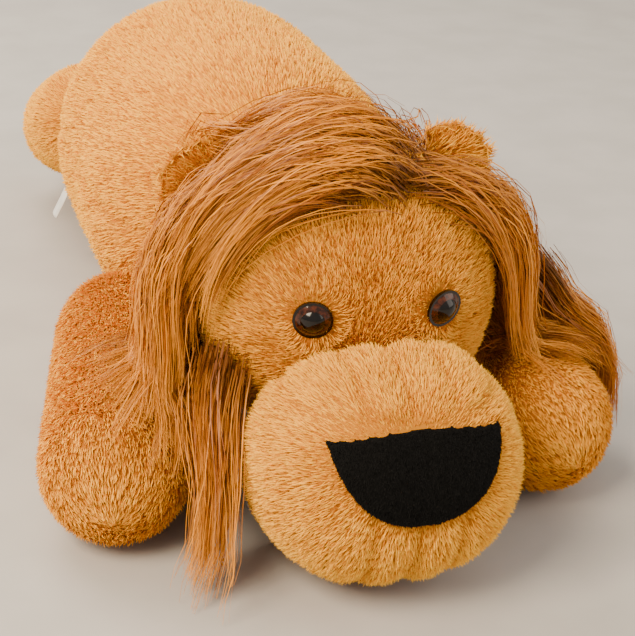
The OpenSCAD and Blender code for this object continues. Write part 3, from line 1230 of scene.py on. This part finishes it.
@dataclass
class Ear:
    """A puffed ear in light fur, with a seam round its edge."""

    side: str

    def make(self, tailor: Tailor) -> None:
        """Makes the form."""
        self.nodes = (f"ear_{self.side}_front", f"ear_{self.side}_back")
        self.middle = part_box(self.nodes[0])[1].y
        self.form = tailor.form(SoftForm(f"ear_{self.side}_form", self.nodes, voxel=0.004, depth=0.003,
            seams=(Seam(Vector((0, self.middle, 0)), Vector((0, 1, 0))),)))

    def dress(self, tailor: Tailor, head: Head) -> None:
        """Sews the front and the back.

        Args:
            tailor: Who sews them.
            head: The head, which the hairs lie away from.
        """
        front = self.form.face_centres()[:, 1] < self.middle
        comb = points_of(self.form.obj) - np.array(head.centre)
        pile = Pile(60e4, 0.012, 0.0009, lean=0.9, clump=0.011, seed=51)
        tailor.sew(self.form, front, Skin(f"ear_{self.side}_inner", f"ear_{self.side}", self.nodes[:1],
            MUZZLE_FUR, pile), comb)
        tailor.sew(self.form, ~front, Skin(f"ear_{self.side}_outer", f"ear_{self.side}", self.nodes[1:],
            MUZZLE_FUR, pile), comb)


@dataclass
class Tail:
    """A thin tail that ends in a tuft."""

    def make(self, tailor: Tailor) -> None:
        """Makes the forms."""
        self.form = tailor.form(
            SoftForm("tail_form", ("tail_stuffing",), voxel=0.003, depth=-0.001, swell=0.0))
        self.tuft = tailor.form(SoftForm("tuft_form", ("tail_tuft",), voxel=0.004, depth=0.007, swell=0.0))

    def dress(self, tailor: Tailor) -> None:
        """Sews the tail and its tuft."""
        for form, skin in (
            (self.form, Skin("tail", "tail", ("tail_skin", "tail_stuffing"), BODY_FUR,
                Pile(60e4, 0.0066, 0.0009, seed=61))),
            (self.tuft, Skin("tail_tuft_hair", "tail", ("tail_tuft",), MANE_FUR,
                Pile(90e4, 0.022, 0.0011, lean=1.8, clump=0.016, seed=62))),
        ):
            count = len(form.obj.data.vertices)
            tailor.sew(form, np.ones(len(form.obj.data.polygons), bool), skin,
                np.tile([0.0, 0.75, -0.65], (count, 1)))


@dataclass
class Neck:
    """The ball of the neck, between the body and the head."""

    def make(self, tailor: Tailor) -> None:
        """Makes the form."""
        self.form = tailor.form(SoftForm("neck_form", ("neck_stuffing",), voxel=0.006))

    def dress(self, tailor: Tailor) -> None:
        """Sews the skin."""
        tailor.sew(self.form, np.ones(len(self.form.obj.data.polygons), bool),
            Skin("neck", "neck", ("neck_skin", "neck_stuffing"), BODY_FUR,
                Pile(30e4, 0.0075, 0.0013, clump=0.012, seed=71)))


# ---- mane -----------------------------------------------------------------------------------------


class Fall(Enum):
    """The way a stretch of mane is combed round the head."""

    TO_LEFT = -1
    TO_RIGHT = 1
    BACK = 0


@dataclass(frozen=True)
class Stretch:
    """A stretch of the mane, measured round the head up from its left side, in degrees."""

    name: str
    replaces: tuple[str, ...]
    around: tuple[float, float]
    hairline: tuple[float, float]    # how far back the hair starts, at either end of the stretch
    nape: tuple[float, float]        # and where it stops
    fall: Fall
    length: float
    height: float                    # how far the top layer lies over the head
    sweep: float                     # how far it is combed forward as it goes round the head
    hang: tuple[float, float]        # how far outwards and forwards it goes as it hangs
    guides: int
    strands: int                     # round each guide
    seed: int


@dataclass
class Mane:
    """Long silky hair all round the head, laid as guide hairs with strands round each."""

    head: Head
    obstacles: BVHTree
    segments: int = 8
    clear: float = 0.006      # above the skin under it
    layer_gap: float = 0.012  # the top layer lies this much higher
    stray: float = 0.085      # how far a guide wanders from the way it is combed
    lock_width: float = 0.0068    # of the strands round a guide, at its root
    gather: float = 0.72      # how far they come together towards the tip
    ruffle: float = 0.0011
    strand_w: float = 0.00074
    ear_room: tuple[tuple[str, float], ...] = (("left", 0.030), ("right", 0.025))
    ear_shift: float = 0.016    # hair may cover the root of an ear
    ear_view: tuple[float, float, float] = (-0.25, -0.85, 0.45)    # hair in front of an ear, and above it
    ear_clear: float = 0.09

    def roots(self, stretch: Stretch, rng: np.random.Generator) -> tuple[Array, Array]:
        """Spreads the guides' roots over the stretch.

        Args:
            stretch: The stretch.
            rng: The source of chance.

        Returns:
            The roots, and the angle of each back from the widest part of the head.
        """
        count = stretch.guides
        spread = (np.arange(count) + rng.random(count)) / count
        around = np.radians(np.interp(spread, (0, 1), stretch.around))
        first = np.interp(spread, (0, 1), stretch.hairline)
        last = np.interp(spread, (0, 1), stretch.nape)
        back = np.radians(first + (last - first) * rng.random(count) ** 1.2)
        along = np.where(back < 0, self.head.front, self.head.back) * np.sin(back)
        out = self.head.radius * 0.96 * np.cos(back)
        local = np.stack([out * np.cos(around), along, out * np.sin(around)], axis=1)
        return local + np.array(self.head.centre), back

    def height_over(self, points: Array) -> tuple[Array, Array]:
        """Measures points against the head.

        Args:
            points: The points.

        Returns:
            Their height over the head, and the way that leads away from it.
        """
        local = points - np.array(self.head.centre)
        deep = np.where(local[:, 1] < 0, self.head.front, self.head.back)
        wide = np.full(len(local), self.head.radius)
        sizes = np.stack([wide, deep, wide], axis=1)
        scaled = np.linalg.norm(local / sizes, axis=1)
        normal = unit(local / sizes**2)
        return (scaled - 1) * np.linalg.norm(local, axis=1) / np.maximum(scaled, 1e-6), normal

    def flow(self, points: Array, stretch: Stretch) -> Array:
        """Finds the way the hair is combed at some points.

        Args:
            points: The points.
            stretch: The stretch that they belong to.

        Returns:
            The directions.
        """
        local = points - np.array(self.head.centre)
        turn = np.arctan2(local[:, 2], local[:, 0])
        sign = stretch.fall.value
        if stretch.fall is Fall.BACK:
            return np.tile(unit(np.array([0.0, 1.0, -0.45])), (len(points), 1))
        round_head = sign * np.stack([-np.sin(turn), np.zeros(len(turn)), np.cos(turn)], axis=1)
        round_head[:, 1] = -stretch.sweep
        below = ramp(local[:, 2], 0.35 * self.head.radius, -0.25 * self.head.radius)[:, None]
        outward, forward = stretch.hang
        down = np.array([-outward * sign, -forward, -1.0])
        return unit(round_head * (1 - below) + down * below)

    def guides(self, stretch: Stretch, rng: np.random.Generator) -> tuple[Array, Array]:
        """Lays the guide hairs.

        Args:
            stretch: The stretch.
            rng: The source of chance.

        Returns:
            The points of each guide, and the way out from what is under each point.
        """
        roots, back = self.roots(stretch, rng)
        count = len(roots)
        layer = rng.random(count) ** 0.7
        depth = np.sqrt(np.clip(np.cos((back - math.radians(14)) * 1.75), 0, 1))
        height = 0.004 + stretch.height * layer * depth
        step = stretch.length * (0.6 + 0.4 * rng.random(count)) / self.segments
        stray = rng.normal(0, self.stray, (count, 3))
        place = roots.copy()
        _, normal = self.height_over(place)
        way = unit(normal * 0.9 + self.flow(place, stretch) * 0.7 + stray)
        path, outward = [place], [normal]
        for index in range(1, self.segments + 1):
            share = index / self.segments
            way = unit(way * 0.5 + (self.flow(place, stretch) + stray * 1.2) * 0.5)
            place = place + way * step[:, None]
            over, normal = self.height_over(place)
            above = ramp(place[:, 2] - self.head.centre.z, -0.5 * self.head.radius, 0.1 * self.head.radius)
            wanted = height * ramp(np.full(count, share), -0.1, 0.35)
            place = place + normal * ((wanted - over) * above * 0.6)[:, None]
            place, normal = self.pushed_out(place, normal, layer)
            way = unit(place - path[-1])
            path.append(place)
            outward.append(normal)
        return np.stack(path, axis=1), np.stack(outward, axis=1)

    def pushed_out(self, points: Array, normals: Array, layer: Array) -> tuple[Array, Array]:
        """Moves points out of the toy's other forms and up from the floor.

        Args:
            points: The points.
            normals: The way out at each, to return where nothing is near.
            layer: How high in the mane each hair lies, from 0 to 1.

        Returns:
            The moved points and the way out at each.
        """
        points, normals = points.copy(), normals.copy()
        for index, point in enumerate(points):
            place = Vector(point)
            gap = self.clear + self.layer_gap * layer[index]
            found, normal, _, _ = self.obstacles.find_nearest(place)
            depth = (place - found).dot(normal)
            if depth < gap and (place - found).length < 0.06:
                points[index] = found + normal * gap
                normals[index] = normal
        points[:, 2] = np.maximum(points[:, 2], 0.003 + 0.006 * layer)
        return points, normals

    def strands(
        self, path: Array, outward: Array, count: int, rng: np.random.Generator
    ) -> tuple[Array, Array, Array]:
        """Spreads strands round each guide, wide at the root and gathered at the tip.

        Args:
            path: The guides' points.
            outward: The way out at each.
            count: Strands to a guide.
            rng: The source of chance.

        Returns:
            The strands' points, the way out at each, and each strand's tone.
        """
        guides, steps, _ = path.shape
        share = np.linspace(0, 1, steps)
        offset = rng.normal(0, self.lock_width, (guides, count, 1, 3))
        gather = (1 - self.gather * ramp(share, 0.05, 0.8))[None, None, :, None]
        turns = rng.uniform(3, 9, (guides, count, 1))
        wave = np.sin(share * turns + rng.uniform(0, 6.28, (guides, count, 1)))
        ruffle = rng.normal(0, self.ruffle, (guides, count, 1, 3)) * wave[..., None]
        ruffle = ruffle * share[None, None, :, None]
        length = rng.uniform(0.72, 1.0, (guides, count, 1))
        at = np.clip(share[None, None, :] * length, 0, 1) * (steps - 1)
        low = np.minimum(at.astype(int), steps - 2)
        part = (at - low)[..., None]
        rows = np.arange(guides)[:, None, None]
        points = path[rows, low] * (1 - part) + path[rows, low + 1] * part
        normals = unit(outward[rows, low] * (1 - part) + outward[rows, low + 1] * part)
        points = points + offset * gather + ruffle
        guide_tone = rng.normal(0.5, 0.17, (guides, 1))
        tone = np.clip(guide_tone + rng.normal(0, 0.16, (guides, count)), 0.03, 0.97)
        size = guides * count
        return points.reshape(size, steps, 3), normals.reshape(size, steps, 3), tone.reshape(size)

    def ribbons(
        self, name: str, points: Array, normals: Array, tone: Array, rng: np.random.Generator
    ) -> bpy.types.Object:
        """Makes a flat tapering ribbon along each strand.

        Args:
            name: The object's name.
            points: The strands' points.
            normals: The way out at each.
            tone: Each strand's tone.
            rng: The source of chance.

        Returns:
            The hair.
        """
        count, steps, _ = points.shape
        along = unit(np.gradient(points, axis=1))
        across = unit(np.cross(along, normals))
        tilt = rng.uniform(-0.9, 0.9, (count, 1, 1))
        across = unit(across * np.cos(tilt) + np.cross(along, across) * np.sin(tilt))
        share = np.linspace(0, 1, steps)
        width = self.strand_w * (1 - 0.75 * share**1.5)[None, :, None] * rng.uniform(0.7, 1.25, (count, 1, 1))
        edges = np.stack([points - across * width / 2, points + across * width / 2], axis=2)
        edges[..., 2] = np.maximum(edges[..., 2], FLOOR_CLEAR)
        first = (np.arange(count) * steps * 2)[:, None] + (np.arange(steps - 1) * 2)[None]
        faces = np.stack([first, first + 1, first + 3, first + 2], axis=2).reshape(-1, 4)
        obj = mesh_object(name, edges.reshape(-1, 3), faces)
        u = tone[:, None, None] + np.array([-0.012, 0.012])[None, None]
        uv = np.stack(np.broadcast_arrays(u, (0.1 + 0.88 * share)[None, :, None]), axis=3).reshape(-1, 2)
        layer = obj.data.uv_layers.new(name=UV_NAME)
        layer.data.foreach_set("uv", uv[faces.ravel()].astype(np.float32).ravel())
        obj.data.shade_smooth()
        return obj

    def grow(self, stretch: Stretch, tailor: Tailor) -> None:
        """Grows one stretch and gives it its place in the frame.

        Args:
            stretch: The stretch.
            tailor: Who has the materials.
        """
        rng = np.random.default_rng(stretch.seed)
        path, outward = self.guides(stretch, rng)
        kept = self.beside_ears(path)
        path, outward = path[kept], outward[kept]
        self.finish(stretch.name, stretch.replaces, path, outward, stretch.strands, tailor, rng)

    def beside_ears(self, path: Array) -> Array:
        """Finds the guides that don't lie over an ear.

        Args:
            path: The guides' points.

        Returns:
            True for each guide that is kept.
        """
        kept = np.ones(len(path), bool)
        for side, radius in self.ear_room:
            low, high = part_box(f"ear_{side}_front")
            middle = np.array((low + high) / 2)
            middle += unit(middle - np.array(self.head.centre)) * self.ear_shift
            ahead = unit(np.array(self.ear_view))
            from_ear = path - middle
            along = np.clip(from_ear @ ahead, 0.0, self.ear_clear)
            gap = np.linalg.norm(from_ear - along[..., None] * ahead, axis=2)
            kept &= (gap > radius).all(axis=1)
        return kept

    def lock(self, name: str, node: str, inwards: float, strands: int, tailor: Tailor, seed: int) -> None:
        """Grows a lock that hangs from the side of the head along its CAD solid.

        Args:
            name: The piece's name.
            node: The CAD node of the lock.
            inwards: Which way the head is, -1 or 1 along X.
            strands: Strands to a guide.
            tailor: Who has the materials.
            seed: The seed of chance.
        """
        rng = np.random.default_rng(seed)
        solid = node_points(node)
        guides = 60
        share = np.linspace(0, 1, self.segments + 1)
        heights = np.quantile(solid[:, 2], [0.98, 0.02])
        path = np.empty((guides, self.segments + 1, 3))
        for index, part in enumerate(share):
            level = heights[0] + (heights[1] - heights[0]) * part
            near = solid[np.abs(solid[:, 2] - level) < 0.02]
            path[:, index] = near.mean(axis=0)
            path[:, index, 2] = level
        lead = np.linspace(1, 0, 4)[None, :, None] * np.array([inwards * 0.012, 0.008, 0.006])
        path[:, :4] += lead
        spread = rng.normal(0, 1, (guides, 1, 3)) * np.array([0.006, 0.013, 0.006])
        path += spread * (0.6 + 0.6 * share)[None, :, None]
        outward = np.tile([-inwards, -0.3, 0.2], (guides, self.segments + 1, 1)) / 1.06
        self.finish(name, (node,), path, outward, strands, tailor, rng)

    def finish(
        self, name: str, nodes: tuple[str, ...], path: Array, outward: Array, count: int,
        tailor: Tailor, rng: np.random.Generator,
    ) -> None:
        """Turns guides into a finished piece.

        Args:
            name: The piece's name.
            nodes: The CAD nodes that it stands for.
            path: The guides' points.
            outward: The way out at each.
            count: Strands to a guide.
            tailor: Who has the materials.
            rng: The source of chance.
        """
        points, normals, tone = self.strands(path, outward, count, rng)
        hair = self.ribbons(name, points, normals, tone, rng)
        tailor.wardrobe.dress(hair, MANE_FUR)
        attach(hair, "head")
        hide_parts(*nodes)
        report(hair)


# ---- hard parts and the label ---------------------------------------------------------------------


class Eyes:
    """The two safety eyes, whose shapes are the CAD's own."""

    @staticmethod
    def dress(wardrobe: Wardrobe) -> None:
        """Gives the bases, irises and washers their finishes."""
        for side in ("left", "right"):
            for part, finish in (("base", EYE_BLACK), ("iris", EYE_BROWN), ("washer", NYLON)):
                node = frame["nodes"][f"eye_{side}_{part}"]
                wardrobe.dress(node, finish)
                report(node)


@dataclass
class CareLabel:
    """A blank satin tab that hangs from the side seam."""

    rows: int = 14
    curl: float = 0.004
    thickness: float = 0.0005
    share: float = 0.8        # of the CAD tab's size

    def make(self, wardrobe: Wardrobe, body: bpy.types.Object) -> None:
        """Makes the tab: curved towards its foot, hanging clear of the fur.

        Args:
            wardrobe: Who has the materials.
            body: What it is sewn to. Not used.
        """
        low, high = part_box("care_label")
        width, drop = (high.y - low.y) * self.share, (high.z - low.z) * self.share
        points, faces = [], []
        for row in range(self.rows + 1):
            share = row / self.rows
            out = -0.006 * math.sin(share * 1.4) - self.curl * share**2
            for column in range(5):
                y = low.y + width * column / 4
                bow = 0.0012 * math.sin(math.pi * column / 4) * share
                points.append((high.x + 0.003 + out - bow, y, high.z - drop * share))
        for row in range(self.rows):
            for column in range(4):
                first = row * 5 + column
                faces.append((first, first + 5, first + 6, first + 1))
        tab = mesh_object("care_tab", np.array(points), np.array(faces))
        wall = tab.modifiers.new("Wall", "SOLIDIFY")
        wall.thickness = self.thickness
        wall.offset = 0.0
        settled(tab)
        tab.data.shade_smooth()
        wardrobe.dress(tab, SATIN)
        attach(tab, "torso")
        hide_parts("care_label")
        report(tab)


# ---- studio ---------------------------------------------------------------------------------------


@dataclass
class Studio:
    """A pale floor, soft lights and the camera."""

    azimuth: float = math.radians(-18.6)
    elevation: float = math.radians(25.3)
    roll: float = math.radians(2.9)
    distance: float = 1.0338
    lens: float = 91.7
    target: Vector = field(default_factory=lambda: Vector((-0.0114, -0.2123, 0.1215)))
    floor_half: float = 6.0

    def make(self) -> None:
        """Makes all three."""
        self.make_floor()
        self.make_lights()
        self.make_camera()

    def make_floor(self) -> None:
        """Makes the floor, one flat square."""
        half = self.floor_half
        points = np.array([(-half, -half, 0), (half, -half, 0), (half, half, 0), (-half, half, 0)])
        floor = mesh_object("floor", points, np.array([(0, 1, 2, 3)]))
        paint = Paint("studio_floor")
        grain = paint.object_noise(14.0).between(0.3, 0.7)
        floor.data.materials.append(paint.finish({
            "Base Color": paint.blend(grain, linear("#adaba8"), linear("#b4b2af")), "Roughness": 0.8}))

    def make_lights(self) -> None:
        """Makes a large key light to the left, a fill to the right, and a light over the back."""
        world = bpy.data.worlds.new("studio")
        world.use_nodes = True
        world.node_tree.nodes["Background"].inputs["Color"].default_value = linear("#fff6ea")
        world.node_tree.nodes["Background"].inputs["Strength"].default_value = 0.75
        bpy.context.scene.world = world
        for name, place, size, power, colour in (
            ("key", Vector((-1.3, -0.9, 1.5)), 1.0, 80.0, "#ffe8c8"),
            ("fill", Vector((1.5, -1.0, 0.9)), 1.4, 16.0, "#fff4e6"),
            ("back", Vector((-0.5, 1.1, 1.5)), 1.2, 42.0, "#fff0dc"),
        ):
            data = bpy.data.lights.new(name, "AREA")
            data.size = size
            data.energy = power
            data.color = linear(colour)[:3]
            light = bpy.data.objects.new(name, data)
            light.location = place
            light.rotation_euler = (Vector((0, -0.1, 0.1)) - place).to_track_quat("-Z", "Y").to_euler()
            bpy.context.scene.collection.objects.link(light)

    def make_camera(self) -> None:
        """Makes the camera, turned a little about its own axis."""
        flat = math.cos(self.elevation)
        back = Vector((
            math.sin(self.azimuth) * flat, -math.cos(self.azimuth) * flat, math.sin(self.elevation)))
        right = Vector((math.cos(self.azimuth), math.sin(self.azimuth), 0))
        up = back.cross(right)
        across = right * math.cos(self.roll) + up * math.sin(self.roll)
        upward = up * math.cos(self.roll) - right * math.sin(self.roll)
        turn = Matrix((across, upward, back)).transposed()
        data = bpy.data.cameras.new("camera")
        data.lens = self.lens
        data.sensor_width = 36.0
        camera = bpy.data.objects.new("camera", data)
        camera.matrix_world = Matrix.Translation(self.target + back * self.distance) @ turn.to_4x4()
        bpy.context.scene.collection.objects.link(camera)
        bpy.context.scene.camera = camera


# ---- the whole toy --------------------------------------------------------------------------------


STRETCHES = (
    Stretch("mane_crown_left_hair", ("mane_crown",), (72, 97), (-26, -29), (50, 34), Fall.TO_RIGHT,
        0.16, 0.024, -0.12, (0.0, 0.2), 300, 34, 81),
    Stretch("mane_crown_right_hair", (), (95, 128), (-29, -6), (34, 12), Fall.TO_RIGHT,
        0.16, 0.024, -0.08, (0.1, 0.2), 300, 34, 82),
    Stretch("mane_right_temple_hair", (), (128, 160), (-6, 0), (12, 16), Fall.TO_RIGHT,
        0.17, 0.022, 0.05, (0.35, 0.22), 300, 34, 83),
    Stretch("mane_right_hair", ("mane_right",), (160, 206), (0, 6), (24, 44), Fall.TO_RIGHT,
        0.13, 0.022, 0.1, (0.42, 0.3), 300, 34, 84),
    Stretch("mane_left_temple_hair", (), (12, 74), (-2, -27), (28, 30), Fall.TO_LEFT,
        0.18, 0.018, -0.05, (0.7, -0.1), 400, 32, 85),
    Stretch("mane_left_hair", ("mane_left",), (-26, 20), (6, 2), (44, 34), Fall.TO_LEFT,
        0.155, 0.022, 0.0, (0.68, -0.05), 300, 34, 86),
    Stretch("mane_nape_hair", (), (35, 145), (34, 34), (56, 56), Fall.BACK,
        0.09, 0.016, 0.0, (0.0, 0.0), 220, 20, 87),
)


def main() -> None:
    """Builds the toy and its studio, and reports each piece."""
    logging.basicConfig(level=logging.INFO, format="%(name)s %(message)s")
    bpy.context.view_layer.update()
    tailor = Tailor()
    body, neck, head, muzzle, nose, tail = Body(), Neck(), Head(), Muzzle(), Nose(), Tail()
    arm_pile = Pile(68e4, 0.0058, 0.00086, lean=1.25, clump=0.008, seed=91)
    hind_pile = Pile(45e4, 0.0062, 0.0010, lean=1.4, clump=0.008, seed=92)
    arms = {side: Leg(f"front_leg_{side}", arm_pile) for side in ("left", "right")}
    hinds = {side: Leg(f"hind_leg_{side}", hind_pile) for side in ("left", "right")}
    ears = [Ear("left"), Ear("right")]
    for part in (body, neck, head, *arms.values(), *hinds.values(), *ears, tail, nose, muzzle):
        part.make(tailor)
    upper = body.dress(tailor)
    neck.dress(tailor)
    head.dress(tailor, nose.middle)
    muzzle.dress(tailor, nose)
    nose.dress(tailor)
    for ear in ears:
        ear.dress(tailor, head)
    for side, arm in arms.items():
        arm.dress(tailor, FACE_FUR, Vector((0.15 if side == "left" else -0.2, -1, 0)))
    for hind in hinds.values():
        hind.dress(tailor, BODY_FUR, Vector((0, 1, 0)))
    tail.dress(tailor)
    mane = Mane(head, tailor.obstacles())
    for stretch in STRETCHES:
        mane.grow(stretch, tailor)
    mane.lock("mane_left_lock_hair", "mane_left_lock", -1.0, 60, tailor, 88)
    mane.lock("mane_right_lock_hair", "mane_right_lock", 1.0, 12, tailor, 89)
    Eyes.dress(tailor.wardrobe)
    CareLabel().make(tailor.wardrobe, upper)
    tailor.tidy_up()
    Studio().make()


if __name__ == "__main__":
    main()
